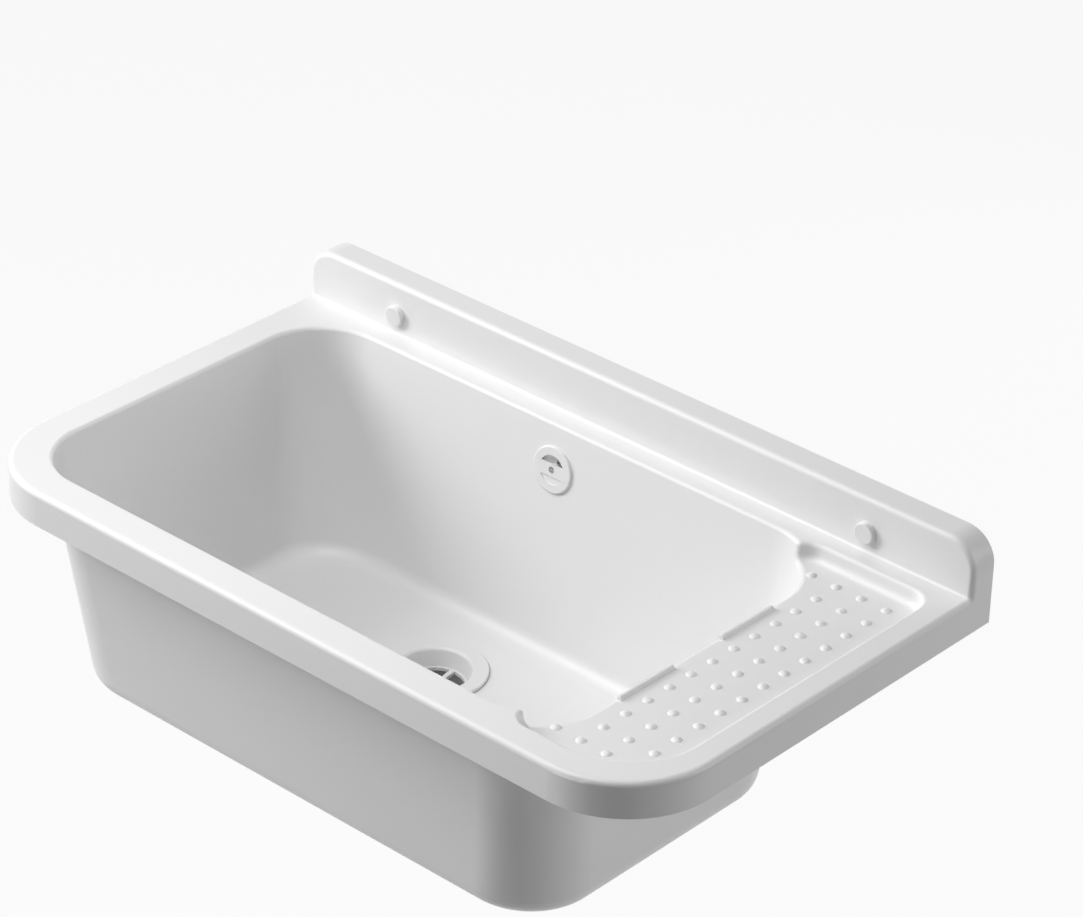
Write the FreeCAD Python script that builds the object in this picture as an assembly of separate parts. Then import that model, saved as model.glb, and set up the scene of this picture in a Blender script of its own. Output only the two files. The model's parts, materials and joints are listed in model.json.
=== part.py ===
import FreeCAD, Part
import math
import os
from FreeCAD import Placement, Rotation, Vector

# Wall-hung plastic sink with a splashback and a drainboard, in millimetres.
# X runs along the wall, +Y into the wall and +Z up. The origin lies on the wall
# plane, midway between the two wall screws.

# Moulding, overall
sink_length = 600.0
sink_depth = 350.0
wall = 4.0
skirt_height = 26.0
front_corner_radius = 70.0
rim_edge_radius = 4.0
lip_radius = 3.0
tip_radius = 4.0
overrun = 6.0
match = 0.01

# Splashback, above the rim
splash_height = 40.0
splash_depth = 21.5
splash_corner_radius = 22.0
splash_foot_radius = 2.0
splash_rib_spacing = 50.0
splash_rib_thickness = 3.0

# Wall screws and the raised pads behind them
screw_spacing = 426.0
screw_rise = 15.0
screw_boss_radius = 8.0
screw_radius = 3.0
screw_clearance = 0.3
screw_thread_radius = 2.8
screw_reach = 30.0
screw_tip_length = 7.0
screw_head_radius = 5.6
screw_head_height = 2.4
screw_slot_width = 1.2
screw_slot_depth = 1.0
screw_slot_length = 8.0

# Cap bases under the screw heads, and the caps that snap over them
cap_base_radius = 6.3
cap_base_height = 3.0
cap_clearance = 0.3
cap_wall = 1.1
cap_edge_radius = 1.0
cap_seat_gap = 0.1

# Bowl, at rim level unless said otherwise
bowl_left_margin = 27.5
bowl_right_margin = 99.5
bowl_front_margin = 28.0
bowl_back_margin = 38.5
bowl_corner_radius = 48.0
bowl_depth = 172.5
bowl_draft = 6.3
bowl_foot_radius = 12.0
floor_fall = 1.6
floor_border = 14.0
floor_slope_width = 52.0

# Drainboard pocket
board_overlap = 27.5
board_right_margin = 20.5
board_back_margin = 36.5
board_depth = 12.5
board_small_radius = 16.0
board_foot_radius = 5.0
pip_radius = 3.7
pip_height = 1.7
pip_pitch = 20.73
pip_back_margin = 16.8
pip_front_margin = 15.0
pip_right_margin = 23.1
pip_bowl_land = 0.6
pip_wall_land = 8.0
pip_root = 1.0

# Drip ribs between the bowl and the drainboard
drip_length = 51.0
drip_gap = 47.0
drip_height = 3.2
drip_shift = 2.3
drip_setback = 1.2
drip_width = 3.6
drip_crest_width = 2.2
drip_rounding = 0.8

# Stiffening ribs under the rim
gusset_thickness = 3.0
gusset_height = 14.0
gusset_spacing = 90.0

# Waste: strainer flange, body and their seals, heights down from the drain seat
drain_from_left = 227.0
drain_from_wall = 127.0
drain_hole_radius = 29.5
drain_seat_margin = 0.6
flange_radius = 38.3
flange_height = 2.6
flange_thickness = 2.0
flange_edge_radius = 0.8
dish_top_radius = 26.6
dish_edge_radius = 3.0
dish_floor_radius = 22.8
dish_depth = 10.4
dish_plate = 2.5
sleeve_clearance = 1.5
strainer_hub_radius = 6.5
strainer_rim = 1.4
strainer_spoke = 3.4
strainer_openings = 4
strainer_turn = 8.0
flange_seal_inner = 30.5
flange_seal_outer = 36.0
flange_seal_thickness = 1.2
body_seal_thickness = 2.5
body_flange_radius = 38.0
body_flange_thickness = 3.0
cup_radius = 31.5
cup_wall = 3.0
cup_neck_depth = 9.0
outlet_radius = 23.9
outlet_wall = 3.4
outlet_length = 24.0
waste_screw_radius = 2.9
waste_screw_head_radius = 5.4
waste_screw_head_height = 3.0
waste_screw_play = 0.2
waste_screw_engagement = 10.0
insert_across_flats = 10.0
insert_height = 8.0
insert_play = 0.1
spider_hub_radius = 8.0
spider_height = 14.0
spider_depth = 10.0
spider_spoke = 3.0
spider_spokes = 3
branch_land = 1.5
branch_reach = 50.0

# Corrugated overflow hose and its two couplings
hose_bore = 8.0
hose_cuff_radius = 9.7
hose_valley_radius = 9.3
hose_crest_radius = 11.5
hose_bend_radius = 32.0
hose_cuff_length = 19.0
rib_pitch = 5.2
rib_crest_share = 0.3
rib_flank_share = 0.2
spigot_radius = 12.5
spigot_bore = 10.0
spigot_overlap = 8.0
coupling_gasket_thickness = 2.5
coupling_gasket_play = 0.15
nut_radius = 15.6
nut_clearance = 0.3
nut_length = 14.0
nut_end_wall = 2.5
nut_grips = 12
nut_grip_radius = 1.2

# Overflow rosette, housing and their fastening, measured square to the bowl's back wall
overflow_from_left = 257.3
overflow_drop = 33.7
overflow_hole_radius = 14.0
rosette_radius = 17.3
rosette_thickness = 2.0
rosette_shell = 1.4
rosette_edge_radius = 0.9
window_radius = 10.9
window_rise = 4.3
window_recess = 0.9
rosette_bar_width = 9.8
rosette_bar_rounding = 0.8
rosette_hub_radius = 3.6
rosette_screw_radius = 1.4
rosette_screw_head_radius = 2.3
rosette_screw_head_height = 1.2
rosette_screw_play = 0.2
rosette_slot_width = 0.6
rosette_slot_depth = 0.6
overflow_seal_inner = 15.0
overflow_seal_outer = 21.5
overflow_seal_thickness = 2.5
housing_flange_radius = 22.5
housing_flange_thickness = 2.5
housing_radius = 18.5
housing_wall = 2.4
housing_depth = 26.0
housing_spigot_reach = 36.0
housing_boss_radius = 4.8
overflow_insert_across_flats = 5.6
overflow_insert_height = 5.0
overflow_insert_engagement = 6.0

# Places worked out from the sizes above
half_length = sink_length / 2
left_x = -half_length
front_y = -sink_depth
rim_z = -screw_rise
skirt_z = rim_z - skirt_height
deck_under_z = rim_z - wall
splash_top_z = rim_z + splash_height
splash_face_y = -splash_depth
draft = math.radians(bowl_draft)
bowl_x = (left_x + bowl_left_margin, half_length - bowl_right_margin)
bowl_y = (front_y + bowl_front_margin, -bowl_back_margin)
floor_z = rim_z - bowl_depth
seat_z = floor_z - floor_fall
board_z = rim_z - board_depth
board_x = (bowl_x[1] - board_overlap, half_length - board_right_margin)
board_y = (bowl_y[0], -board_back_margin)
board_large_radius = front_corner_radius - board_right_margin
drain = Vector(left_x + drain_from_left, -drain_from_wall, seat_z)
overflow_z = rim_z - overflow_drop
overflow_y = bowl_y[1] - overflow_drop * math.tan(draft)
overflow = Vector(left_x + overflow_from_left, overflow_y, overflow_z)
drain_floor_under = -wall
body_top = drain_floor_under - body_seal_thickness
branch_z = body_top - body_flange_thickness - branch_land - spigot_radius
cup_floor = branch_z - spigot_radius - branch_land
outlet_top = cup_floor - cup_neck_depth
housing_front = wall + overflow_seal_thickness
housing_back = housing_front + housing_flange_thickness + housing_depth
spigot_y = housing_front + housing_flange_thickness + housing_depth / 2


def outline_edges(x_range, y_range, radii, z):
    # Straight sides and tangent corner arcs in turn, from the front left corner to the back left one
    ends = []
    for index, (i, j) in enumerate([(0, 0), (1, 0), (1, 1), (0, 1)]):
        x, y, radius = x_range[i], y_range[j], radii[index]
        inward_x, inward_y = 1 - 2 * i, 1 - 2 * j
        along_x = Vector(x + inward_x * radius, y, z)
        along_y = Vector(x, y + inward_y * radius, z)
        start, end = (along_y, along_x) if index % 2 == 0 else (along_x, along_y)
        lean = radius * (1 - math.sqrt(0.5))
        middle = Vector(x + inward_x * lean, y + inward_y * lean, z)
        ends.append((start, middle, end))
    edges = []
    for index, (start, middle, end) in enumerate(ends):
        if (end - start).Length > match:
            edges.append(Part.Arc(start, middle, end).toShape())
        edges.append(Part.LineSegment(end, ends[(index + 1) % len(ends)][0]).toShape())
    return edges


def rounded_outline(x_range, y_range, radii, z):
    # Closed outline with a rounding at each corner
    return Part.Wire(outline_edges(x_range, y_range, radii, z))


def outside_by(x, y, x_range, y_range, radius):
    # Distance of a point outside a rounded outline, negative inside it
    across = max(x_range[0] - x, x - x_range[1]) + radius
    along = max(y_range[0] - y, y - y_range[1]) + radius
    return math.hypot(max(across, 0), max(along, 0)) + min(max(across, along), 0) - radius


def tapered(low, high):
    # Solid between two outlines of as many edges: flat sides and ruled corners
    faces = []
    for below, above in zip(low, high):
        if isinstance(below.Curve, Part.Line):
            corners = [below.Vertexes[0].Point, below.Vertexes[1].Point, above.Vertexes[1].Point,
                       above.Vertexes[0].Point]
            faces.append(Part.Face(Part.makePolygon(corners + corners[:1])))
        else:
            faces.append(Part.makeRuledSurface(below, above))
    # The sides come first, because the shell takes its outward side from them
    shell = Part.Shell(faces + [Part.Face(Part.Wire(high)), Part.Face(Part.Wire(low))])
    shell.sewShape()
    return Part.Solid(shell)


def prism(outline, height):
    # Solid of an outline raised by a height, which may be negative
    return Part.Face(outline).extrude(Vector(0, 0, height))


def edges_at(shape, z):
    # Edges that lie flat at one height
    return [e for e in shape.Edges
            if abs(e.BoundBox.ZMin - z) < match and abs(e.BoundBox.ZMax - z) < match]


def revolved(points, axis=Vector(0, 0, 1)):
    # Solid of a closed profile of (radius, height) pairs turned about the Z or the Y axis
    if axis.z:
        places = [Vector(r, 0, h) for r, h in points]
    else:
        places = [Vector(r, h, 0) for r, h in points]
    face = Part.Face(Part.makePolygon(places + places[:1]))
    return face.revolve(Vector(0, 0, 0), axis, 360)


def tube(outer, inner, bottom, top):
    # Straight tube about the Z axis
    return revolved([(inner, bottom), (outer, bottom), (outer, top), (inner, top)])


def regular_bar(across_flats, bottom, top):
    # Hexagonal bar about the Z axis
    radius = across_flats / 2 / math.cos(math.pi / 6)
    points = [Vector(radius * math.cos(math.pi / 3 * k), radius * math.sin(math.pi / 3 * k), bottom)
              for k in range(6)]
    return prism(Part.makePolygon(points + points[:1]), top - bottom)


def bowl_edges(z, growth):
    # Edges of the bowl's outline at a height, grown outward by a wall
    inset = (rim_z - z) * math.tan(draft) - growth
    x_range = (bowl_x[0] + inset, bowl_x[1] - inset)
    y_range = (bowl_y[0] + inset, bowl_y[1] - inset)
    return outline_edges(x_range, y_range, [bowl_corner_radius + growth] * 4, z)


def bowl_form(top, bottom, growth):
    # Drafted bowl with a rounded foot and a floor that falls from all sides
    body = tapered(bowl_edges(bottom, growth), bowl_edges(top, growth))
    body = body.makeFillet(bowl_foot_radius + growth, edges_at(body, bottom))
    edge = (rim_z - floor_z) * math.tan(draft) + floor_border
    x_high = (bowl_x[0] + edge, bowl_x[1] - edge)
    y_high = (bowl_y[0] + edge, bowl_y[1] - edge)
    x_low = (x_high[0] + floor_slope_width, x_high[1] - floor_slope_width)
    y_low = (y_high[0] + floor_slope_width, y_high[1] - floor_slope_width)
    high = outline_edges(x_high, y_high, [bowl_corner_radius] * 4, bottom)
    low = outline_edges(x_low, y_low, [bowl_corner_radius / 2] * 4, bottom - floor_fall)
    return body.fuse(tapered(low, high))


def splash_block(inset, face_y, back_y, bottom):
    # Upright block with rounded top corners, between two places across the splashback
    x0, x1 = left_x + inset, half_length - inset
    top = splash_top_z - inset
    radius = splash_corner_radius - inset
    lean = radius * (1 - math.sqrt(0.5))
    p = [Vector(x0, face_y, bottom), Vector(x1, face_y, bottom),
         Vector(x1, face_y, top - radius), Vector(x1 - radius, face_y, top),
         Vector(x0 + radius, face_y, top), Vector(x0, face_y, top - radius)]
    right = Part.Arc(p[2], Vector(x1 - lean, face_y, top - lean), p[3])
    left = Part.Arc(p[4], Vector(x0 + lean, face_y, top - lean), p[5])
    curves = [Part.LineSegment(p[0], p[1]), Part.LineSegment(p[1], p[2]), right,
              Part.LineSegment(p[3], p[4]), left, Part.LineSegment(p[5], p[0])]
    outline = Part.Wire([c.toShape() for c in curves])
    return Part.Face(outline).extrude(Vector(0, back_y - face_y, 0))


def rim_shell():
    # Rim plate with its turned-down skirt and the splashback, hollow below and behind
    radii = [front_corner_radius, front_corner_radius, 0, 0]
    deck = prism(rounded_outline((left_x, half_length), (front_y, 0), radii, skirt_z), skirt_height)
    shell = deck.fuse(splash_block(0, splash_face_y, 0, skirt_z)).removeSplitter()
    foot = [e for e in edges_at(shell, rim_z) if e.BoundBox.YMin > splash_face_y - match]
    shell = shell.makeFillet(splash_foot_radius, foot)
    # The rounding follows the tangent edges all round, from the rim up over the splashback
    front = [e for e in edges_at(shell, rim_z) if e.BoundBox.YMax < front_y + match]
    shell = shell.makeFillet(rim_edge_radius, front)
    inner_x = (left_x + wall, half_length - wall)
    inner_radii = [front_corner_radius - wall, front_corner_radius - wall, 0, 0]
    below = rounded_outline(inner_x, (front_y + wall, overrun), inner_radii, skirt_z - overrun)
    shell = shell.cut(prism(below, skirt_height - wall + overrun))
    return shell.cut(splash_block(wall, splash_face_y + wall, overrun, rim_z))


def splash_stiffeners():
    # Upright ribs and screw bosses in the hollow behind the splashback
    parts = []
    depth = splash_depth - wall / 2
    count = int(half_length / splash_rib_spacing)
    for k in range(-count + 1, count):
        x = k * splash_rib_spacing - splash_rib_thickness / 2
        parts.append(Part.makeBox(splash_rib_thickness, depth, splash_height - wall,
                                  Vector(x, -depth, rim_z - wall / 2)))
    for x in screw_places():
        parts.append(Part.makeCylinder(screw_boss_radius, depth, Vector(x, -depth, 0), Vector(0, 1, 0)))
    return parts


def screw_places():
    # Places of the wall screws along the wall
    return [-screw_spacing / 2, screw_spacing / 2]


def gussets():
    # Ribs under the rim, between the skirt and the bowl
    parts = []
    reach = bowl_front_margin
    middle = (bowl_x[0] + bowl_x[1]) / 2
    count = int((bowl_x[1] - middle) / gusset_spacing)
    for k in range(-count, count + 1):
        x = middle + k * gusset_spacing - gusset_thickness / 2
        parts.append(Part.makeBox(gusset_thickness, reach, gusset_height,
                                  Vector(x, front_y + wall / 2, deck_under_z - gusset_height + wall / 2)))
    for k in (0, 1):
        y = front_y + front_corner_radius + gusset_spacing * (k + 1 / 2)
        parts.append(Part.makeBox(bowl_left_margin, gusset_thickness, gusset_height,
                                  Vector(left_x + wall / 2, y, deck_under_z - gusset_height + wall / 2)))
    for k in (0, 1, 2):
        y = board_y[0] + front_corner_radius - board_right_margin + gusset_spacing * k
        x = bowl_x[1] - wall
        board_under = board_z - wall
        parts.append(Part.makeBox(half_length - wall / 2 - x, gusset_thickness, board_under - skirt_z,
                                  Vector(x, y, skirt_z)))
    return parts


def board_pocket(growth, bottom, foot_radius):
    # Drainboard pocket, or its outside when grown by a wall
    x_range = (board_x[0] - growth, board_x[1] + growth)
    y_range = (board_y[0] - growth, board_y[1] + growth)
    small, large = board_small_radius + growth, board_large_radius + growth
    outline = rounded_outline(x_range, y_range, [small, large, small, small], bottom)
    body = prism(outline, rim_z - bottom + (0 if growth else overrun))
    return body.makeFillet(foot_radius, edges_at(body, bottom))


def pips():
    # Domed pips in rows and columns, kept clear of the bowl and of the rounded front corner
    sphere = (pip_radius ** 2 + pip_height ** 2) / (2 * pip_height)
    half_turn = math.asin(pip_radius / sphere) / 2
    low = sphere - pip_height
    crown = Vector(0, 0, pip_height)
    shoulder = Vector(sphere * math.sin(half_turn), 0, sphere * math.cos(half_turn) - low)
    root = [Vector(pip_radius, 0, 0), Vector(pip_radius, 0, -pip_root), Vector(0, 0, -pip_root), crown]
    edges = [Part.Arc(crown, shoulder, root[0]).toShape()]
    edges += [Part.LineSegment(a, b).toShape() for a, b in zip(root, root[1:])]
    dome = Part.Face(Part.Wire(edges)).revolve(Vector(0, 0, 0), Vector(0, 0, 1), 360)
    middle_x, middle_y = (board_x[0] + board_x[1]) / 2, (board_y[0] + board_y[1]) / 2
    back_y = board_y[1] - pip_back_margin
    inset = board_depth * math.tan(draft)
    hole_x, hole_y = (bowl_x[0] + inset, bowl_x[1] - inset), (bowl_y[0] + inset, bowl_y[1] - inset)
    rows = int((back_y - pip_front_margin - board_y[0]) / pip_pitch) + 1
    columns = int((board_x[1] - board_x[0]) / pip_pitch)
    parts = []
    for row in range(rows):
        for column in range(columns):
            x = board_x[1] - pip_right_margin - pip_pitch * column
            y = back_y - pip_pitch * row
            at_large_corner = x > middle_x and y < middle_y
            corner_radius = board_large_radius if at_large_corner else board_small_radius
            to_bowl = outside_by(x, y, hole_x, hole_y, bowl_corner_radius)
            to_wall = -outside_by(x, y, board_x, board_y, corner_radius)
            if to_bowl > pip_radius + pip_bowl_land and to_wall > pip_radius + pip_wall_land:
                pip = dome.copy()
                pip.translate(Vector(x, y, board_z))
                parts.append(pip)
    return parts


def drip_ribs():
    # Two low ribs beside the bowl, smooth towards it and steep towards the drainboard
    x0 = bowl_x[1] - board_depth * math.tan(draft) + drip_setback
    x1 = x0 + drip_width
    crest = x1 - drip_rounding - drip_crest_width
    top = board_z + drip_height
    middle_y = (bowl_y[0] + bowl_y[1]) / 2 + drip_shift
    parts = []
    for side in (-1, 1):
        y = middle_y + side * (drip_gap + drip_length) / 2 - drip_length / 2
        places = [Vector(x0, y, board_z - pip_root), Vector(x1, y, board_z - pip_root),
                  Vector(x1, y, board_z), Vector(x1 - drip_rounding, y, top), Vector(crest, y, top),
                  Vector(x0, y, board_z)]
        rib = Part.Face(Part.makePolygon(places + places[:1])).extrude(Vector(0, drip_length, 0))
        upper = [e for e in rib.Edges if e.BoundBox.ZMin > top - match]
        parts.append(rib.makeFillet(drip_rounding, upper))
    return parts


def drain_pad():
    # Flat underside round the drain, for the body's seal
    return Part.makeCylinder(body_flange_radius + drain_seat_margin, floor_fall + wall / 2,
                             Vector(drain.x, drain.y, seat_z - wall))


def drain_hole():
    # Flat recess for the strainer flange and the hole through the bowl floor
    hole = Part.makeCylinder(drain_hole_radius, wall + 2 * overrun,
                             Vector(drain.x, drain.y, seat_z - wall - overrun))
    return hole.fuse(Part.makeCylinder(flange_radius + drain_seat_margin, floor_fall + overrun, drain))


def overflow_place(shape):
    # Turns a shape made square to the bowl's back wall into its place on that wall
    shape.Placement = Placement(overflow, Rotation(Vector(1, 0, 0), -bowl_draft)).multiply(shape.Placement)
    return shape


def drain_place(shape):
    # Moves a shape made about the drain axis to the drain seat
    shape.translate(drain)
    return shape


def rim_lips(shape):
    # Sharp edges where the bowl and the drainboard pocket break through the rim
    inner_x = (bowl_x[0] - match, board_x[1] + match)
    inner_y = (bowl_y[0] - match, board_y[1] + match)
    return [e for e in edges_at(shape, rim_z)
            if e.BoundBox.XMin > inner_x[0] and e.BoundBox.XMax < inner_x[1]
            and e.BoundBox.YMin > inner_y[0] and e.BoundBox.YMax < inner_y[1]]


def pocket_tips(shape):
    # Upright edges where the pocket's left corners run out into the bowl
    reach = board_small_radius - match
    return [e for e in shape.Edges if abs(e.BoundBox.ZMax - rim_z) < match
            and board_z < e.BoundBox.ZMin < deck_under_z
            and abs(e.BoundBox.Center.x - board_x[0]) < reach]


def basin():
    # The one-piece moulding: rim, splashback, bowl and drainboard
    outside = bowl_form(deck_under_z + wall / 2, floor_z - wall, wall).fuse(drain_pad())
    board = board_pocket(wall, board_z - wall, board_foot_radius + wall)
    body = rim_shell().fuse([board, outside] + gussets())
    pocket = board_pocket(0, board_z, board_foot_radius)
    body = body.cut([pocket, bowl_form(rim_z + overrun, floor_z, 0)])
    body = body.makeFillet(tip_radius, pocket_tips(body))
    body = body.makeFillet(lip_radius, rim_lips(body))
    body = body.fuse(splash_stiffeners() + pips() + drip_ribs())
    for x in screw_places():
        body = body.cut(Part.makeCylinder(screw_radius + screw_clearance, splash_depth + 2 * overrun,
                                          Vector(x, -splash_depth - overrun, 0), Vector(0, 1, 0)))
    hole = Part.makeCylinder(overflow_hole_radius, wall + 2 * overrun, Vector(0, -overrun, 0),
                             Vector(0, 1, 0))
    body = body.cut([drain_hole(), overflow_place(hole)])
    return body.removeSplitter()


def strainer_flange():
    # Flange with its dished funnel, the strainer openings and the countersunk hub
    top = flange_height
    under = -dish_depth - dish_plate
    sleeve = drain_hole_radius - sleeve_clearance
    ceiling = flange_seal_thickness
    shoulder = drain_floor_under
    shell = revolved([(0, -dish_depth), (dish_floor_radius, -dish_depth), (dish_top_radius, top),
                      (flange_radius - flange_edge_radius, top), (flange_radius, top - flange_edge_radius),
                      (flange_radius, sleeve_clearance / 2),
                      (flange_seal_outer + match, sleeve_clearance / 2),
                      (flange_seal_outer + match, ceiling), (sleeve, ceiling), (sleeve, shoulder),
                      (dish_floor_radius + flange_thickness, under), (0, under)])
    brim = [e for e in shell.Edges if isinstance(e.Curve, Part.Circle)
            and abs(e.Curve.Radius - dish_top_radius) < match and e.BoundBox.ZMin > 0]
    shell = shell.makeFillet(dish_edge_radius, brim)
    ring = tube(dish_floor_radius - strainer_rim, strainer_hub_radius, under - overrun, top)
    bars = spokes(strainer_openings, dish_top_radius, strainer_spoke, under - overrun, top, strainer_turn)
    screw_hole = Part.makeCylinder(waste_screw_radius + waste_screw_play, dish_depth + dish_plate,
                                   Vector(0, 0, under - match))
    sink = countersink(waste_screw_head_radius + waste_screw_play,
                       waste_screw_radius + waste_screw_play, waste_screw_head_height, -dish_depth)
    return shell.cut([ring.cut(bars), screw_hole, sink])


def spokes(count, reach, width, bottom, top, turn):
    # Straight spokes from the middle of a round opening to its rim
    bars = []
    for k in range(count):
        bar = Part.makeBox(reach, width, top - bottom, Vector(0, -width / 2, bottom))
        bar.rotate(Vector(0, 0, 0), Vector(0, 0, 1), turn + 360 * k / count)
        bars.append(bar)
    return bars


def countersink(top_radius, bottom_radius, depth, top):
    # Conical seat for a screw head, with an opening above it
    return revolved([(0, top - depth), (bottom_radius, top - depth), (top_radius, top),
                     (top_radius, top + overrun), (0, top + overrun)])


def slotted_screw(radius, head_radius, head_height, length, slot_width, slot_depth):
    # Countersunk screw about the Z axis, its head's top at zero and a slot across it
    shank = revolved([(0, 0), (head_radius, 0), (radius, -head_height), (radius, -length), (0, -length)])
    slot = Part.makeBox(2 * head_radius, slot_width, slot_depth + overrun,
                        Vector(-head_radius, -slot_width / 2, -slot_depth))
    return shank.cut(slot)


def waste_screw():
    # Screw that draws the flange and the body together through the floor
    screw = slotted_screw(waste_screw_radius, waste_screw_head_radius, waste_screw_head_height,
                          waste_screw_length(), screw_slot_width, screw_slot_depth)
    screw.translate(Vector(0, 0, -dish_depth))
    return screw


def hub_top():
    # Height of the top of the body's screw hub
    return body_top - spider_depth


def waste_body():
    # Cup under the floor with a screw hub on spokes, a side branch and the threaded outlet
    cup_bore = cup_radius - cup_wall
    outlet_bore = outlet_radius - outlet_wall
    outlet_bottom = outlet_top - outlet_length
    flange_under = body_top - body_flange_thickness
    outside = revolved([(0, body_top), (body_flange_radius, body_top), (body_flange_radius, flange_under),
                        (cup_radius, flange_under), (cup_radius, cup_floor), (outlet_radius, outlet_top),
                        (outlet_radius, outlet_bottom), (0, outlet_bottom)])
    inside = revolved([(0, body_top + overrun), (cup_bore, body_top + overrun), (cup_bore, cup_floor),
                       (outlet_bore, outlet_top), (outlet_bore, outlet_bottom - overrun),
                       (0, outlet_bottom - overrun)])
    outside = outside.fuse(on_branch(Part.makeCylinder(spigot_radius, branch_reach)))
    inside = inside.fuse(on_branch(Part.makeCylinder(spigot_bore, branch_reach + overrun)))
    hub_bottom = hub_top() - spider_height
    hub = Part.makeCylinder(spider_hub_radius, spider_height, Vector(0, 0, hub_bottom))
    bars = spokes(spider_spokes, cup_radius - cup_wall / 2, spider_spoke, hub_bottom, hub_top(),
                  branch_angle() + 180 / spider_spokes)
    bore = Part.makeCylinder(waste_screw_radius + waste_screw_play, spider_height + 2 * overrun,
                             Vector(0, 0, hub_bottom - overrun))
    pocket = regular_bar(insert_across_flats + 2 * insert_play, hub_top() - insert_height - insert_play,
                         hub_top() + overrun)
    return outside.cut(inside).fuse([hub] + bars).cut([bore, pocket])


def waste_insert():
    # Brass insert in the top of the body's hub
    bottom = hub_top() - insert_height
    bar = regular_bar(insert_across_flats, bottom, hub_top())
    return bar.cut(Part.makeCylinder(waste_screw_radius + insert_play, insert_height + 2 * overrun,
                                     Vector(0, 0, bottom - overrun)))


def waste_screw_length():
    # Screw length from the hub of the dish to its engagement in the insert
    return -dish_depth - hub_top() + waste_screw_engagement


def hose_corner():
    # Where the housing's spigot axis meets the height of the body's branch
    start = hose_start()
    lean = math.tan(draft)
    drop = start.z - (drain.z + branch_z)
    return Vector(start.x, start.y - drop * lean, drain.z + branch_z)


def hose_start():
    # Upper end of the hose, inside the housing's spigot
    end = Placement(overflow, Rotation(Vector(1, 0, 0), -bowl_draft))
    return end.multVec(Vector(0, spigot_y, -housing_spigot_reach + spigot_overlap))


def branch_angle():
    # Direction of the branch, from the drain towards the hose, in degrees about Z
    corner = hose_corner()
    return math.degrees(math.atan2(corner.y - drain.y, corner.x - drain.x))


def on_branch(shape):
    # Lays a shape made about the Z axis along the branch of the body
    shape.rotate(Vector(0, 0, 0), Vector(0, 1, 0), 90)
    shape.rotate(Vector(0, 0, 0), Vector(0, 0, 1), branch_angle())
    shape.translate(Vector(0, 0, branch_z))
    return shape


def on_spigot(shape):
    # Hangs a shape made about the Z axis, pointing up, under the overflow housing
    shape.rotate(Vector(0, 0, 0), Vector(1, 0, 0), 180)
    shape.translate(Vector(0, spigot_y, 0))
    return shape


def coupling_nut(spigot_end):
    # Nut over a spigot's end, with finger grips, its end wall round the hose cuff
    inner = spigot_radius + nut_clearance
    end = spigot_end + coupling_gasket_thickness + nut_end_wall
    start = end - nut_length
    under = end - nut_end_wall
    body = revolved([(inner, start), (nut_radius, start), (nut_radius, end),
                     (hose_cuff_radius + nut_clearance, end), (hose_cuff_radius + nut_clearance, under),
                     (inner, under)])
    grips = []
    for k in range(nut_grips):
        angle = 2 * math.pi * k / nut_grips
        reach = nut_radius + nut_grip_radius / 2
        place = Vector(reach * math.cos(angle), reach * math.sin(angle), start - overrun)
        grips.append(Part.makeCylinder(nut_grip_radius, nut_length + 2 * overrun, place))
    return body.cut(grips)


def coupling_gasket(spigot_end):
    # Washer between a spigot's end and the nut's end wall
    return tube(spigot_radius, hose_cuff_radius + coupling_gasket_play, spigot_end,
                spigot_end + coupling_gasket_thickness)


def overflow_rosette():
    # Round grating over the overflow hole, with a half-round window and a recessed lower half
    back, front = 0, -rosette_thickness
    edge = rosette_edge_radius
    curve = edge * (1 - math.sqrt(0.5))
    body = revolved([(0, front), (rosette_radius - edge, front), (rosette_radius - curve, front + curve),
                     (rosette_radius, front + edge), (rosette_radius, back),
                     (rosette_radius - rosette_shell, back),
                     (rosette_radius - rosette_shell, front + rosette_shell),
                     (0, front + rosette_shell)], Vector(0, 1, 0))
    hub_depth = housing_front - rosette_shell
    hub = Part.makeCylinder(rosette_hub_radius, hub_depth, Vector(0, front + match, 0), Vector(0, 1, 0))
    disc = Part.makeCylinder(window_radius, rosette_thickness + overrun,
                             Vector(0, front - overrun, 0), Vector(0, 1, 0))
    size = 2 * window_radius
    above = Part.makeBox(size, rosette_thickness + 2 * overrun, size,
                         Vector(-window_radius, front - overrun, window_rise))
    bar_bottom = window_rise - rosette_bar_width
    below = Part.makeBox(size, window_recess + overrun, size,
                         Vector(-window_radius, front - overrun, bar_bottom - size))
    window = disc.common(above)
    recess = disc.common(below)
    hole = Part.makeCylinder(rosette_screw_radius + rosette_screw_play, hub_depth + 2 * overrun,
                             Vector(0, front - overrun, 0), Vector(0, 1, 0))
    sink = countersink(rosette_screw_head_radius + rosette_screw_play,
                       rosette_screw_radius + rosette_screw_play, rosette_screw_head_height, 0)
    sink = face_forward(sink, front)
    body = body.fuse(hub).cut([window, recess])
    lower = [e for e in body.Edges if abs(e.BoundBox.ZMax - bar_bottom) < match
             and abs(e.BoundBox.ZMin - bar_bottom) < match and abs(e.BoundBox.YMax - front) < match]
    return body.makeFillet(rosette_bar_rounding, lower).cut([hole, sink])


def face_forward(shape, y):
    # Turns a shape made about the Z axis, top up, to face out of the bowl's back wall
    shape.rotate(Vector(0, 0, 0), Vector(1, 0, 0), 90)
    shape.translate(Vector(0, y, 0))
    return shape


def overflow_insert_front():
    # Front of the insert, measured from the inner face of the bowl's back wall
    return housing_front + housing_flange_thickness


def overflow_screw():
    # Screw that holds the rosette to the housing
    length = rosette_thickness + overflow_insert_front() + overflow_insert_engagement
    screw = slotted_screw(rosette_screw_radius, rosette_screw_head_radius, rosette_screw_head_height,
                          length, rosette_slot_width, rosette_slot_depth)
    return face_forward(screw, -rosette_thickness)


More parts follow.
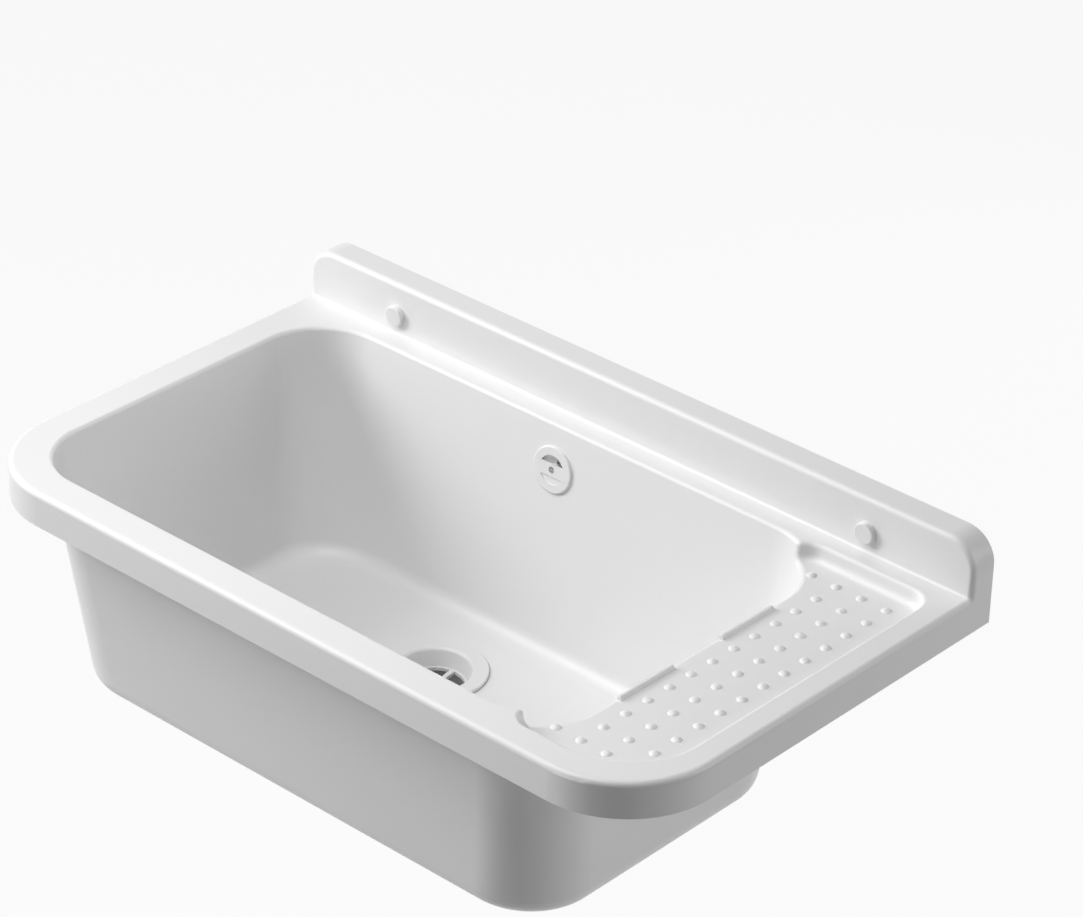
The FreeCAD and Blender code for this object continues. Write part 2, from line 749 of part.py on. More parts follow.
def overflow_insert():
    # Brass insert in the housing's boss
    bar = regular_bar(overflow_insert_across_flats, -overflow_insert_height, 0)
    bore = Part.makeCylinder(rosette_screw_radius + insert_play, overflow_insert_height + 2 * overrun,
                             Vector(0, 0, -overflow_insert_height - overrun))
    return face_forward(bar.cut(bore), overflow_insert_front())


def overflow_housing():
    # Chamber behind the overflow hole with a downward spigot and a screw boss
    flange_back = housing_front + housing_flange_thickness
    inner = housing_radius - housing_wall
    shell = revolved([(inner, housing_front), (housing_flange_radius, housing_front),
                      (housing_flange_radius, flange_back), (housing_radius, flange_back),
                      (housing_radius, housing_back), (0, housing_back), (0, housing_back - housing_wall),
                      (inner, housing_back - housing_wall)], Vector(0, 1, 0))
    spigot = on_spigot(Part.makeCylinder(spigot_radius, housing_spigot_reach))
    bore = on_spigot(Part.makeCylinder(spigot_bore, housing_spigot_reach + overrun))
    core = Part.makeCylinder(inner, housing_back - housing_wall - housing_front,
                             Vector(0, housing_front, 0), Vector(0, 1, 0))
    front = overflow_insert_front()
    boss = Part.makeCylinder(housing_boss_radius, housing_back - housing_wall / 2 - front,
                             Vector(0, front, 0), Vector(0, 1, 0))
    pocket = face_forward(regular_bar(overflow_insert_across_flats + 2 * insert_play,
                                      -overflow_insert_height - insert_play, overrun), front)
    screw_bore = Part.makeCylinder(rosette_screw_radius + rosette_screw_play,
                                   overflow_insert_engagement * 2, Vector(0, front, 0), Vector(0, 1, 0))
    body = shell.fuse(spigot.cut(core)).cut(bore.cut(core)).fuse(boss)
    return body.cut([pocket, screw_bore])


def circle_at(centre, direction, side, radius):
    # Circle square to a direction, its seam always on the same side
    across = direction.cross(side)
    turn = Rotation(side, across, direction, "ZXY")
    circle = Part.makeCircle(radius)
    circle.Placement = Placement(centre, turn)
    return Part.Wire([circle])


def hose():
    # Corrugated hose with plain cuffs: a straight drop, one bend and a straight run to the branch
    start, corner = hose_start(), hose_corner()
    along = Vector(drain.x - corner.x, drain.y - corner.y, 0)
    end = corner + along * ((along.Length - branch_reach + spigot_overlap) / along.Length)
    first, last = corner - start, end - corner
    turn = first.getAngle(last)
    tangent = hose_bend_radius * math.tan(turn / 2)
    first_run, last_run = first.Length - tangent, last.Length - tangent
    bend = hose_bend_radius * turn
    total = first_run + bend + last_run
    d0, d1 = first.normalize(), last.normalize()
    side = d0.cross(d1).normalize()
    inward = side.cross(d0)
    pivot = start + d0 * first_run + inward * hose_bend_radius
    print("hose length", round(total, 1), "turn", round(math.degrees(turn), 1))

    def place(distance):
        # Point and direction at a distance along the hose
        if distance <= first_run:
            return start + d0 * distance, d0
        if distance >= first_run + bend:
            return corner + d1 * (tangent + distance - first_run - bend), d1
        angle = (distance - first_run) / hose_bend_radius
        arm = inward * (-hose_bend_radius)
        spin = Rotation(side, math.degrees(angle))
        return pivot + spin.multVec(arm), spin.multVec(d0)

    stations = [(0, hose_cuff_radius), (hose_cuff_length, hose_cuff_radius)]
    ribs = int((total - 2 * hose_cuff_length) / rib_pitch)
    margin = (total - ribs * rib_pitch) / 2
    flank = rib_flank_share * rib_pitch
    crest = rib_crest_share * rib_pitch
    for k in range(ribs):
        at = margin + k * rib_pitch + (rib_pitch - crest - 2 * flank) / 2
        stations += [(at, hose_valley_radius), (at + flank, hose_crest_radius),
                     (at + flank + crest, hose_crest_radius), (at + 2 * flank + crest, hose_valley_radius)]
    stations += [(total - hose_cuff_length, hose_cuff_radius), (total, hose_cuff_radius)]
    outside = Part.makeLoft([circle_at(*place(s), side, r) for s, r in stations], True, True)
    middle, _ = place(first_run + bend / 2)
    path = Part.Wire([Part.LineSegment(start - d0 * overrun, start + d0 * first_run).toShape(),
                      Part.Arc(start + d0 * first_run, middle, corner + d1 * tangent).toShape(),
                      Part.LineSegment(corner + d1 * tangent, end + d1 * overrun).toShape()])
    bore = path.makePipeShell([circle_at(start - d0 * overrun, d0, side, hose_bore)], True, True)
    return outside.cut(bore)


def wall_screw(x):
    # Screw from the cap base through the splashback and into the wall
    head = -splash_depth - cap_base_height
    length = -head + screw_reach
    tip = length - screw_tip_length
    shank = revolved([(0, 0), (screw_head_radius, 0), (screw_radius, -screw_head_height),
                      (screw_radius, head), (screw_thread_radius, head), (screw_thread_radius, -tip),
                      (0, -length)])
    for turn in (0, 90):
        corner = Vector(-screw_slot_length / 2, -screw_slot_width / 2, -screw_slot_depth)
        slot = Part.makeBox(screw_slot_length, screw_slot_width, screw_slot_depth + overrun, corner)
        slot.rotate(Vector(0, 0, 0), Vector(0, 0, 1), turn)
        shank = shank.cut(slot)
    shank = face_forward(shank, head)
    shank.translate(Vector(x, 0, 0))
    return shank


def cap_base(x):
    # Round washer under the screw head that the cap snaps over
    body = Part.makeCylinder(cap_base_radius, cap_base_height)
    hole = Part.makeCylinder(screw_radius + screw_clearance / 2, cap_base_height + 2 * overrun,
                             Vector(0, 0, -overrun))
    sink = countersink(screw_head_radius + screw_clearance / 2, screw_radius + screw_clearance / 2,
                       screw_head_height, cap_base_height)
    base = face_forward(body.cut([hole, sink]), splash_face_y)
    base.translate(Vector(x, 0, 0))
    return base


def screw_cap(x):
    # Domed cap over a screw head
    inner = cap_base_radius + cap_clearance
    outer = inner + cap_wall
    ceiling = cap_base_height + cap_clearance
    top = ceiling + cap_wall
    curve = cap_edge_radius * (1 - math.sqrt(0.5))
    cap = revolved([(inner, cap_seat_gap), (outer, cap_seat_gap), (outer, top - cap_edge_radius),
                    (outer - curve, top - curve), (outer - cap_edge_radius, top), (0, top), (0, ceiling),
                    (inner, ceiling)])
    cap = face_forward(cap, splash_face_y)
    cap.translate(Vector(x, 0, 0))
    return cap


def all_parts():
    # Every sub-part in its place, by name
    left, right = screw_places()
    seal_top = flange_seal_thickness
    return {
        "basin": basin(),
        "waste_strainer_flange": drain_place(strainer_flange()),
        "waste_flange_seal": drain_place(tube(flange_seal_outer, flange_seal_inner, 0, seal_top)),
        "waste_body_seal": drain_place(tube(flange_seal_outer, flange_seal_inner, body_top,
                                            drain_floor_under)),
        "waste_body": drain_place(waste_body()),
        "waste_insert": drain_place(waste_insert()),
        "waste_screw": drain_place(waste_screw()),
        "overflow_rosette": overflow_place(overflow_rosette()),
        "overflow_screw": overflow_place(overflow_screw()),
        "overflow_insert": overflow_place(overflow_insert()),
        "overflow_seal": overflow_place(revolved(
            [(overflow_seal_inner, wall), (overflow_seal_outer, wall), (overflow_seal_outer, housing_front),
             (overflow_seal_inner, housing_front)], Vector(0, 1, 0))),
        "overflow_housing": overflow_place(overflow_housing()),
        "housing_nut": overflow_place(on_spigot(coupling_nut(housing_spigot_reach))),
        "housing_gasket": overflow_place(on_spigot(coupling_gasket(housing_spigot_reach))),
        "branch_nut": drain_place(on_branch(coupling_nut(branch_reach))),
        "branch_gasket": drain_place(on_branch(coupling_gasket(branch_reach))),
        "overflow_hose": hose(),
        "wall_screw_left": wall_screw(left),
        "wall_screw_right": wall_screw(right),
        "cap_base_left": cap_base(left),
        "cap_base_right": cap_base(right),
        "screw_cap_left": screw_cap(left),
        "screw_cap_right": screw_cap(right),
    }


os.makedirs("parts", exist_ok=True)
for name, shape in all_parts().items():
    solids = len(shape.Solids)
    print(name, "valid" if shape.isValid() else "BROKEN", solids, "solid, volume", round(shape.Volume))
    if solids == 1:
        shape = shape.Solids[0]
    shape.exportStep(f"parts/{name}.step")
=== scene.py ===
# Wall-hung plastic sink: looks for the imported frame
import bpy
import bmesh
import json
import math
import numpy as np
from mathutils import Matrix, Vector


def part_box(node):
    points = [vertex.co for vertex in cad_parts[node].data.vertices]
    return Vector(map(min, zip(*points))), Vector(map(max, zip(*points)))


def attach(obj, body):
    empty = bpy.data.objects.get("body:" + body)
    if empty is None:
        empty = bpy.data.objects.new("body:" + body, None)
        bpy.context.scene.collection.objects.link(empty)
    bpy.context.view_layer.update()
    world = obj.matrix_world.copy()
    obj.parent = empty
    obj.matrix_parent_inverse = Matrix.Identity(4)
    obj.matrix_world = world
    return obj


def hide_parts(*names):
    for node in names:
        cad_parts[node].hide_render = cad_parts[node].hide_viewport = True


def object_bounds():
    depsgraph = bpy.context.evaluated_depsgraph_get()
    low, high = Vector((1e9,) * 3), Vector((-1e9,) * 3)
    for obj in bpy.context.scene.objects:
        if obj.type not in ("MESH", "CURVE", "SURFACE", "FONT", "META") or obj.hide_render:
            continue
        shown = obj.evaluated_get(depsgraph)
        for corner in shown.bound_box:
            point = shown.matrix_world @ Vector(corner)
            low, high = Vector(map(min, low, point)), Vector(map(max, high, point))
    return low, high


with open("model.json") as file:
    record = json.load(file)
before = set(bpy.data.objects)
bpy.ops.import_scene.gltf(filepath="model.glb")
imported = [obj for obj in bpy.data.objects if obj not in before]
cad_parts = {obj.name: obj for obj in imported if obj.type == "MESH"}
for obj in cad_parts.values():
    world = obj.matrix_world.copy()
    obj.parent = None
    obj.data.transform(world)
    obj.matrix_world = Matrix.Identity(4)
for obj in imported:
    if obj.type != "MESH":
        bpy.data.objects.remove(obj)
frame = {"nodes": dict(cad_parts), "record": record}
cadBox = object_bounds()
nodes = frame["nodes"]
scene = bpy.context.scene
print("frame loaded:", len(nodes), "nodes")


# Shader helpers

def newGroup(name, inputs, outputs):
    group = bpy.data.node_groups.new(name, "ShaderNodeTree")
    for label, kind, value in inputs:
        socket = group.interface.new_socket(name=label, in_out="INPUT", socket_type=kind)
        socket.default_value = value
    for label, kind in outputs:
        group.interface.new_socket(name=label, in_out="OUTPUT", socket_type=kind)
    return group, group.nodes.new("NodeGroupInput"), group.nodes.new("NodeGroupOutput")


def newMaterial(name):
    material = bpy.data.materials.new(name)
    material.use_nodes = True
    tree = material.node_tree
    return material, tree, tree.nodes["Principled BSDF"]


def addNode(tree, kind, **settings):
    node = tree.nodes.new(kind)
    for name, value in settings.items():
        setattr(node, name, value)
    return node


def link(tree, source, target):
    tree.links.new(source, target)


def feed(tree, value, socket):
    # A number is set on the socket, and another socket is linked to it
    if isinstance(value, (int, float)):
        socket.default_value = value
    else:
        link(tree, value, socket)


def mathNode(tree, operation, first, second):
    node = addNode(tree, "ShaderNodeMath", operation=operation)
    feed(tree, first, node.inputs[0])
    feed(tree, second, node.inputs[1])
    return node.outputs[0]


def noiseNode(tree, vector, scale, detail):
    node = addNode(tree, "ShaderNodeTexNoise")
    link(tree, vector, node.inputs["Vector"])
    feed(tree, scale, node.inputs["Scale"])
    node.inputs["Detail"].default_value = detail
    return node.outputs["Fac"]


def addBump(tree, shader, height, look):
    bump = addNode(tree, "ShaderNodeBump")
    bump.inputs["Strength"].default_value = look["bumpStrength"]
    bump.inputs["Distance"].default_value = look["bumpDistance"]
    link(tree, height, bump.inputs["Height"])
    link(tree, bump.outputs["Normal"], shader.inputs["Normal"])


# Moulded plastic: slow waves of cooling, fine orange peel and a cloudy gloss

skinShape = dict(waveDetail=1.0, peelDetail=2.0, cloudDetail=4.0, cloudPerWave=3.0, waveHeight=0.7,
                 peelHeight=0.006)


def mouldedSkinGroup():
    group, given, made = newGroup("mouldedSkin", [
        ("Base", "NodeSocketColor", (0.8, 0.8, 0.8, 1.0)),
        ("Gloss", "NodeSocketFloat", 0.3),
        ("GlossSpread", "NodeSocketFloat", 0.06),
        ("ToneSpread", "NodeSocketFloat", 0.02),
        ("PeelScale", "NodeSocketFloat", 900.0),
        ("WaveScale", "NodeSocketFloat", 14.0),
    ], [("Color", "NodeSocketColor"), ("Roughness", "NodeSocketFloat"), ("Height", "NodeSocketFloat")])
    place = addNode(group, "ShaderNodeTexCoord").outputs["Object"]
    cloudScale = mathNode(group, "MULTIPLY", given.outputs["WaveScale"], skinShape["cloudPerWave"])
    wave = noiseNode(group, place, given.outputs["WaveScale"], skinShape["waveDetail"])
    peel = noiseNode(group, place, given.outputs["PeelScale"], skinShape["peelDetail"])
    cloud = noiseNode(group, place, cloudScale, skinShape["cloudDetail"])
    height = mathNode(group, "ADD", mathNode(group, "MULTIPLY", wave, skinShape["waveHeight"]),
                      mathNode(group, "MULTIPLY", peel, skinShape["peelHeight"]))
    lift = mathNode(group, "SUBTRACT", cloud, 0.5)
    gloss = mathNode(group, "ADD", given.outputs["Gloss"],
                     mathNode(group, "MULTIPLY", lift, given.outputs["GlossSpread"]))
    tone = mathNode(group, "ADD", 1.0, mathNode(group, "MULTIPLY", lift, given.outputs["ToneSpread"]))
    tint = addNode(group, "ShaderNodeVectorMath", operation="SCALE")
    link(group, given.outputs["Base"], tint.inputs[0])
    link(group, tone, tint.inputs["Scale"])
    link(group, tint.outputs[0], made.inputs["Color"])
    link(group, gloss, made.inputs["Roughness"])
    link(group, height, made.inputs["Height"])
    return group


def plasticMaterial(name, look):
    material, tree, shader = newMaterial(name)
    skin = addNode(tree, "ShaderNodeGroup", node_tree=skinGroup)
    skin.inputs["Base"].default_value = (*look["base"], 1.0)
    for label in ("Gloss", "GlossSpread", "ToneSpread", "PeelScale", "WaveScale"):
        skin.inputs[label].default_value = look[label]
    link(tree, skin.outputs["Color"], shader.inputs["Base Color"])
    link(tree, skin.outputs["Roughness"], shader.inputs["Roughness"])
    addBump(tree, shader, skin.outputs["Height"], look)
    shader.inputs["IOR"].default_value = look["ior"]
    return material


skinGroup = mouldedSkinGroup()
basinLook = dict(base=(0.80, 0.80, 0.80), Gloss=0.40, GlossSpread=0.05, ToneSpread=0.006,
                 PeelScale=500.0, WaveScale=9.0, bumpStrength=0.05, bumpDistance=0.0006, ior=1.49)
fittingLook = dict(base=(0.79, 0.79, 0.79), Gloss=0.30, GlossSpread=0.05, ToneSpread=0.008,
                   PeelScale=700.0, WaveScale=30.0, bumpStrength=0.04, bumpDistance=0.0003, ior=1.49)
capLook = dict(base=(0.79, 0.79, 0.79), Gloss=0.28, GlossSpread=0.04, ToneSpread=0.006,
               PeelScale=900.0, WaveScale=60.0, bumpStrength=0.04, bumpDistance=0.0002, ior=1.5)
hoseLook = dict(base=(0.66, 0.67, 0.67), Gloss=0.45, GlossSpread=0.10, ToneSpread=0.03,
                PeelScale=1200.0, WaveScale=60.0, bumpStrength=0.15, bumpDistance=0.0003, ior=1.49)
sealLook = dict(base=(0.02, 0.02, 0.02), Gloss=0.7, GlossSpread=0.15, ToneSpread=0.3,
                PeelScale=2500.0, WaveScale=120.0, bumpStrength=0.3, bumpDistance=0.0002, ior=1.5)


# Turned and drawn metal: a fine grain in the gloss and slow stains

steelLook = dict(dark=(0.42, 0.42, 0.42), light=(0.62, 0.62, 0.61), gloss=0.25, glossSpread=0.2,
                 grainScale=400.0, grainDetail=4.0, stainScale=90.0, stainDetail=3.0,
                 bumpStrength=0.2, bumpDistance=0.0001)
brassLook = dict(steelLook, dark=(0.50, 0.35, 0.12), light=(0.72, 0.54, 0.24), gloss=0.3)


def metalMaterial(name, look):
    material, tree, shader = newMaterial(name)
    place = addNode(tree, "ShaderNodeTexCoord").outputs["Object"]
    grain = noiseNode(tree, place, look["grainScale"], look["grainDetail"])
    stain = noiseNode(tree, place, look["stainScale"], look["stainDetail"])
    ramp = addNode(tree, "ShaderNodeValToRGB")
    ramp.color_ramp.elements[0].color = (*look["dark"], 1.0)
    ramp.color_ramp.elements[1].color = (*look["light"], 1.0)
    link(tree, stain, ramp.inputs["Fac"])
    link(tree, ramp.outputs["Color"], shader.inputs["Base Color"])
    gloss = mathNode(tree, "ADD", look["gloss"], mathNode(tree, "MULTIPLY", grain, look["glossSpread"]))
    link(tree, gloss, shader.inputs["Roughness"])
    addBump(tree, shader, grain, look)
    shader.inputs["Metallic"].default_value = 1.0
    return material


finishes = {
    "moulding": plasticMaterial("whiteMoulding", basinLook),
    "fitting": plasticMaterial("whiteFitting", fittingLook),
    "cap": plasticMaterial("whiteCap", capLook),
    "hose": plasticMaterial("hosePlastic", hoseLook),
    "seal": plasticMaterial("blackRubber", sealLook),
    "screw": metalMaterial("zincSteel", steelLook),
    "insert": metalMaterial("turnedBrass", brassLook),
}
slotOf = {part["node"]: part["material_slot"] for part in frame["record"]["subparts"]}
for name, node in nodes.items():
    for slot in node.material_slots:
        slot.material = finishes[slotOf[name]]
print("finishes:", len(finishes))


def meshFrom(shape, name, sharpAngle):
    # Ends a bmesh as a smooth mesh with sharp edges kept
    data = bpy.data.meshes.new(name)
    shape.to_mesh(data)
    shape.free()
    data.shade_smooth()
    data.set_sharp_from_angle(angle=math.radians(sharpAngle))
    return data


def placePiece(name, data, slot, standsFor=None):
    piece = bpy.data.objects.new(name, data)
    scene.collection.objects.link(piece)
    data.materials.clear()
    data.materials.append(finishes[slot])
    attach(piece, "sink")
    if standsFor:
        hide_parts(standsFor)


# Threaded pieces: the CAD mesh as far as the thread, and a turned tail with a real helix

outletThread = dict(centre=(-0.073, -0.127), top=-0.2356, overlap=0.0003, length=0.0243, crest=0.0239,
                    root=0.0225, bore=0.0205, pitch=0.0023, fade=0.0016, tip=0.0, roundness=0.12,
                    around=96, rowsPerTurn=14, sharpAngle=40)
screwThread = dict(wall=-0.002, overlap=0.001, length=0.032, crest=0.0028, root=0.0019, bore=0.0,
                   pitch=0.0026, fade=0.002, tip=0.008, roundness=0.22, around=36, rowsPerTurn=14,
                   sharpAngle=50)
mergeWithin = 1e-6
cutWithin = 1e-7


def threadHeight(turns, roundness):
    # 0 at the root and 1 at the crest, over one turn of the helix
    rise = 1.0 - abs(2.0 * (turns % 1.0) - 1.0)
    rise = min(max((rise - roundness) / (1.0 - 2.0 * roundness), 0.0), 1.0)
    return rise * rise * (3.0 - 2.0 * rise)


def turnAngles(around):
    return [2.0 * math.pi * step / around for step in range(around)]


def threadedTail(shape):
    # Rings of (radius, angle, distance) along the tail; the thread fades in and out, and a tip tapers
    rings = []
    length = shape["length"]
    rows = int(length / shape["pitch"] * shape["rowsPerTurn"])
    for row in range(rows + 1):
        along = length * row / rows
        grown = max(min(along / shape["fade"], (length - along) / shape["fade"], 1.0), 0.0)
        slim = min((length - along) / shape["tip"], 1.0) if shape["tip"] else 1.0
        ring = []
        for step, angle in enumerate(turnAngles(shape["around"])):
            high = threadHeight(along / shape["pitch"] - step / shape["around"], shape["roundness"])
            radius = shape["root"] + (shape["crest"] - shape["root"]) * high * grown
            ring.append((radius * slim, angle, along))
        rings.append(ring)
    return rings


def addTail(mesh, shape, placed):
    # Skins the rings, and closes them with a bore or with end caps
    rings = [[mesh.verts.new(placed(*point)) for point in ring] for ring in threadedTail(shape)]
    if shape["bore"]:
        for along in (shape["length"], 0.0):
            rings.append([mesh.verts.new(placed(shape["bore"], angle, along))
                          for angle in turnAngles(shape["around"])])
        rings.append(rings[0])
    faces = []
    for lower, upper in zip(rings, rings[1:]):
        for step in range(shape["around"]):
            after = (step + 1) % shape["around"]
            faces.append(mesh.faces.new((lower[step], lower[after], upper[after], upper[step])))
    if not shape["bore"]:
        faces.append(mesh.faces.new(rings[0]))
        faces.append(mesh.faces.new(rings[-1]))
    bmesh.ops.recalc_face_normals(mesh, faces=faces)


def threadedPiece(name, shape, cutPlace, cutNormal, placed):
    # Copy of a CAD node cut off square at the thread, with its threaded tail
    mesh = bmesh.new()
    mesh.from_mesh(nodes[name].data)
    bmesh.ops.remove_doubles(mesh, verts=mesh.verts, dist=mergeWithin)
    cut = bmesh.ops.bisect_plane(mesh, geom=mesh.verts[:] + mesh.edges[:] + mesh.faces[:],
                                 dist=cutWithin, plane_co=cutPlace, plane_no=cutNormal,
                                 clear_outer=True)
    rim = [edge for edge in cut["geom_cut"] if isinstance(edge, bmesh.types.BMEdge)]
    if shape["bore"]:
        bmesh.ops.bridge_loops(mesh, edges=rim)
    else:
        bmesh.ops.holes_fill(mesh, edges=rim, sides=0)
    addTail(mesh, shape, placed)
    data = meshFrom(mesh, name + "Threaded", shape["sharpAngle"])
    placePiece(name + "_threaded", data, slotOf[name], name)


def outletPlace(radius, angle, along):
    x, y = outletThread["centre"]
    return (x + radius * math.cos(angle), y + radius * math.sin(angle),
            outletThread["top"] + outletThread["overlap"] - along)


threadedPiece("waste_body", outletThread, (0.0, 0.0, outletThread["top"]), (0.0, 0.0, -1.0), outletPlace)
for screwName in ("wall_screw_left", "wall_screw_right"):
    low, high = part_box(screwName)
    middle = (low + high) / 2

    def screwPlace(radius, angle, along, middle=middle):
        return (middle.x + radius * math.cos(angle), screwThread["wall"] + along,
                middle.z + radius * math.sin(angle))

    threadedPiece(screwName, screwThread, (0.0, screwThread["wall"] + screwThread["overlap"], 0.0),
                  (0.0, 1.0, 0.0), screwPlace)
print("threaded pieces: outlet and two wall screws")


# Basin with the pocket's front wall nearer the skirt, a squarer front tip and the pip beside that tip

# The wall's shift in y starts, is whole, stays whole and ends at the four places along x and across y.
# reach is the width of the tip's soft bumps, and step the one for the slope of the move
pocketShape = dict(shift=-0.005, along=(0.176, 0.190, 0.222, 0.262),
                   across=(-0.345, -0.331, -0.316, -0.306), reach=0.0075, step=1e-5)
# Places round the tip and how far each moves beyond the wall's own shift
tipMoves = (
    ((0.1763, -0.3157), (0.0028, 0.0016)),
    ((0.1787, -0.3183), (0.0006, 0.0001)),
    ((0.1822, -0.3205), (-0.0003, -0.0008)),
    ((0.1700, -0.3187), (0.0010, 0.0004)),
    ((0.1625, -0.3209), (0.0, 0.0)),
    ((0.1864, -0.3079), (0.0, 0.0)),
    ((0.1830, -0.3110), (0.0006, 0.0005)),
    ((0.1900, -0.3220), (0.0, 0.0)),
    ((0.1760, -0.3280), (0.0, 0.0)),
)


def eased(value, low, high):
    share = np.clip((value - low) / (high - low), 0.0, 1.0)
    return share * share * (3.0 - 2.0 * share)


def plateau(value, corners):
    start, whole, wholeEnd, end = corners
    return eased(value, start, whole) * (1.0 - eased(value, wholeEnd, end))


def softBumps(plan, places):
    gaps = np.linalg.norm(plan[:, None] - places[None], axis=2)
    return np.exp(-(gaps / pocketShape["reach"]) ** 2)


def pocketPlan(plan):
    # Moved plan places: the wall's shift, and bumps whose weights give each place of tipMoves its move
    places = np.array([place for place, move in tipMoves])
    moves = np.array([move for place, move in tipMoves])
    weights = np.linalg.solve(softBumps(places, places), moves)
    moved = plan + softBumps(plan, places) @ weights
    moved[:, 1] += (pocketShape["shift"] * plateau(plan[:, 0], pocketShape["along"])
                    * plateau(plan[:, 1], pocketShape["across"]))
    return moved


def warpMesh(mesh):
    # Moves the points in plan and turns the shading normals with them
    places = np.empty(len(mesh.vertices) * 3)
    mesh.vertices.foreach_get("co", places)
    places = places.reshape(-1, 3)
    normals = np.empty(len(mesh.loops) * 3)
    mesh.corner_normals.foreach_get("vector", normals)
    normals = normals.reshape(-1, 3)
    owners = np.empty(len(mesh.loops), dtype=np.int32)
    mesh.loops.foreach_get("vertex_index", owners)
    plan = places[:, :2].copy()
    moved = pocketPlan(plan)
    step = pocketShape["step"]
    alongX = (pocketPlan(plan + (step, 0.0)) - moved) / step
    alongY = (pocketPlan(plan + (0.0, step)) - moved) / step
    slopes = np.stack((alongX, alongY), axis=1)[owners]
    turned = np.linalg.solve(slopes, normals[:, :2, None])[:, :, 0]
    normals = np.column_stack((turned, normals[:, 2]))
    normals /= np.linalg.norm(normals, axis=1)[:, None]
    places[:, :2] = moved
    mesh.vertices.foreach_set("co", places.ravel())
    mesh.update()
    mesh.normals_split_custom_set([tuple(normal) for normal in normals])


pipShape = dict(place=(0.1942, -0.3021, -0.0275), radius=0.0037, height=0.0017, sink=0.0006,
                around=40, rings=8, sharpAngle=50)


def pipDome():
    # Closed dome whose skirt stands a little way into the pocket's floor
    height = pipShape["height"]
    sphere = (pipShape["radius"] ** 2 + height ** 2) / (2.0 * height)
    widest = math.asin(pipShape["radius"] / sphere)
    around, rings = pipShape["around"], pipShape["rings"]
    middle = Vector(pipShape["place"])
    dome = bmesh.new()
    top = dome.verts.new(middle + Vector((0.0, 0.0, height)))
    rows = []
    for ring in range(1, rings + 2):
        tilt = widest * min(ring, rings) / rings
        level = sphere * math.cos(tilt) - (sphere - height) - (pipShape["sink"] if ring > rings else 0.0)
        rows.append([dome.verts.new(middle + Vector((sphere * math.sin(tilt) * math.cos(angle),
                                                     sphere * math.sin(tilt) * math.sin(angle), level)))
                     for angle in turnAngles(around)])
    for step in range(around):
        after = (step + 1) % around
        dome.faces.new((top, rows[0][step], rows[0][after]))
        for upper, lower in zip(rows, rows[1:]):
            dome.faces.new((upper[step], lower[step], lower[after], upper[after]))
    dome.faces.new(rows[-1][::-1])
    bmesh.ops.recalc_face_normals(dome, faces=dome.faces[:])
    return meshFrom(dome, "pipDome", pipShape["sharpAngle"])


basinMesh = nodes["basin"].data.copy()
warpMesh(basinMesh)
placePiece("basin_moulding", basinMesh, "moulding", "basin")
placePiece("front_tip_pip", pipDome(), "moulding")
print("basin: pocket's front wall, tip and pip")


# Stage, lights and camera

floorLook = dict(drop=0.60, size=14.0, shown=0.92, tone=0.85, roughness=0.9, glow=1.0)


def buildFloor():
    lowest = cadBox[0].z - floorLook["drop"]
    half = floorLook["size"] / 2
    corners = [(-half, -half, lowest), (half, -half, lowest), (half, half, lowest), (-half, half, lowest)]
    mesh = bpy.data.meshes.new("floor")
    mesh.from_pydata(corners, [], [(0, 1, 2, 3)])
    floor = bpy.data.objects.new("floor", mesh)
    scene.collection.objects.link(floor)
    material, tree, shader = newMaterial("paleFloor")
    shader.inputs["Base Color"].default_value = (*[floorLook["tone"]] * 3, 1.0)
    shader.inputs["Roughness"].default_value = floorLook["roughness"]
    glow = addNode(tree, "ShaderNodeEmission")
    glow.inputs["Strength"].default_value = floorLook["glow"]
    mix = addNode(tree, "ShaderNodeMixShader")
    rays = addNode(tree, "ShaderNodeLightPath")
    seen = mathNode(tree, "MAXIMUM", rays.outputs["Is Camera Ray"], rays.outputs["Is Glossy Ray"])
    seen = mathNode(tree, "MAXIMUM", seen, rays.outputs["Is Transmission Ray"])
    link(tree, mathNode(tree, "MULTIPLY", seen, floorLook["shown"]), mix.inputs["Fac"])
    link(tree, shader.outputs["BSDF"], mix.inputs[1])
    link(tree, glow.outputs["Emission"], mix.inputs[2])
    link(tree, mix.outputs["Shader"], tree.nodes["Material Output"].inputs["Surface"])
    mesh.materials.append(material)


# World light, then place, aim, size in metres and power in watts of each lamp. insideOverflow stands for
# light that comes through the overflow housing's plastic
lightLevels = dict(world=0.055, lamps=(
    ("frontLeft", (-1.9, -1.5, 1.3), (0.0, -0.2, -0.1), 1.2, 37.0),
    ("left", (-2.4, -1.35, 0.6), (0.0, -0.2, -0.1), 1.2, 13.5),
    ("right", (2.2, 1.1, 0.6), (0.0, -0.2, -0.1), 1.2, 19.0),
    ("nearTop", (-0.1, -0.55, 0.9), (0.0, -0.1, -0.05), 0.6, 5.6),
    ("nearTopLeft", (-0.8, -0.45, 0.75), (0.0, -0.1, -0.05), 0.6, 1.5),
    ("lowBehind", (-0.4, 2.2, 0.0), (0.0, -0.1, -0.1), 1.4, 6.0),
    ("insideOverflow", (-0.052, -0.031, -0.0395), (-0.045, -0.008, -0.050), 0.004, 0.0022),
))


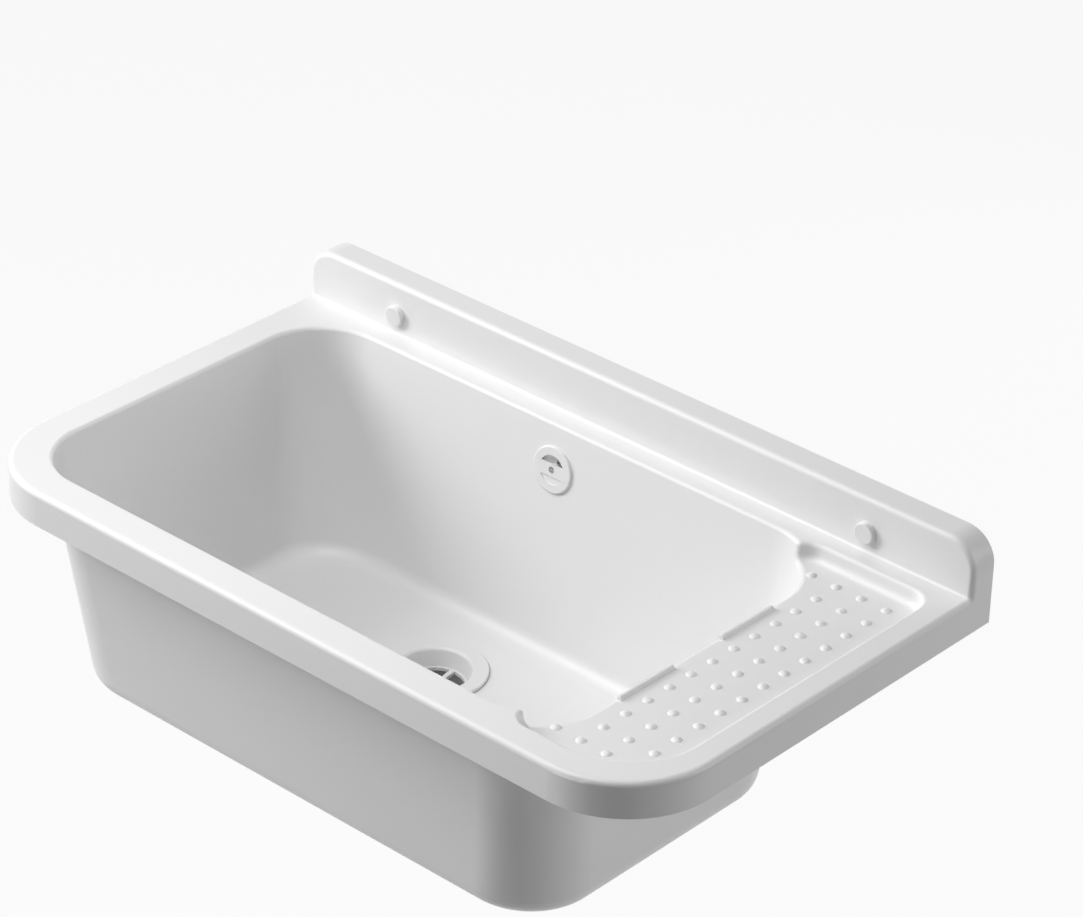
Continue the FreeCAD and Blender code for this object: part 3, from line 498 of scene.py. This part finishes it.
def buildWorld():
    # White where it is seen or mirrored, and weaker as a light
    world = bpy.data.worlds.new("studio")
    scene.world = world
    world.use_nodes = True
    tree = world.node_tree
    back = tree.nodes["Background"]
    rays = addNode(tree, "ShaderNodeLightPath")
    seen = mathNode(tree, "MAXIMUM", rays.outputs["Is Camera Ray"], rays.outputs["Is Glossy Ray"])
    strength = mathNode(tree, "ADD", lightLevels["world"],
                        mathNode(tree, "MULTIPLY", seen, 1.0 - lightLevels["world"]))
    back.inputs["Color"].default_value = (1.0, 1.0, 1.0, 1.0)
    link(tree, strength, back.inputs["Strength"])


def buildLamps():
    for name, place, aim, size, power in lightLevels["lamps"]:
        data = bpy.data.lights.new(name, "AREA")
        data.shape = "DISK"
        data.size = size
        data.energy = power
        lamp = bpy.data.objects.new(name, data)
        lamp.location = place
        lamp.rotation_euler = (Vector(aim) - Vector(place)).to_track_quat("-Z", "Y").to_euler()
        scene.collection.objects.link(lamp)


cameraView = dict(azimuth=41.54, elevation=30.04, roll=1.50, aim=(-0.01990, -0.08047, -0.015),
                  distance=2.82787, lens=138.866, sensor=36.0, nearest=0.05)


def buildCamera():
    azimuth, elevation, roll = (math.radians(cameraView[k]) for k in ("azimuth", "elevation", "roll"))
    ahead = Vector((-math.sin(azimuth) * math.cos(elevation), math.cos(azimuth) * math.cos(elevation),
                    -math.sin(elevation)))
    across = Vector((math.cos(azimuth), math.sin(azimuth), 0.0))
    upward = across.cross(ahead)
    right = across * math.cos(roll) + upward * math.sin(roll)
    top = upward * math.cos(roll) - across * math.sin(roll)
    data = bpy.data.cameras.new("photoCamera")
    data.sensor_width = cameraView["sensor"]
    data.lens = cameraView["lens"]
    data.clip_start = cameraView["nearest"]
    camera = bpy.data.objects.new("photoCamera", data)
    turn = Matrix((right, top, -ahead)).transposed().to_4x4()
    place = Vector(cameraView["aim"]) - ahead * cameraView["distance"]
    camera.matrix_world = Matrix.Translation(place) @ turn
    scene.collection.objects.link(camera)
    scene.camera = camera


buildFloor()
buildWorld()
buildLamps()
buildCamera()
scene.view_settings.view_transform = "Standard"
print("stage, lamps and camera set")
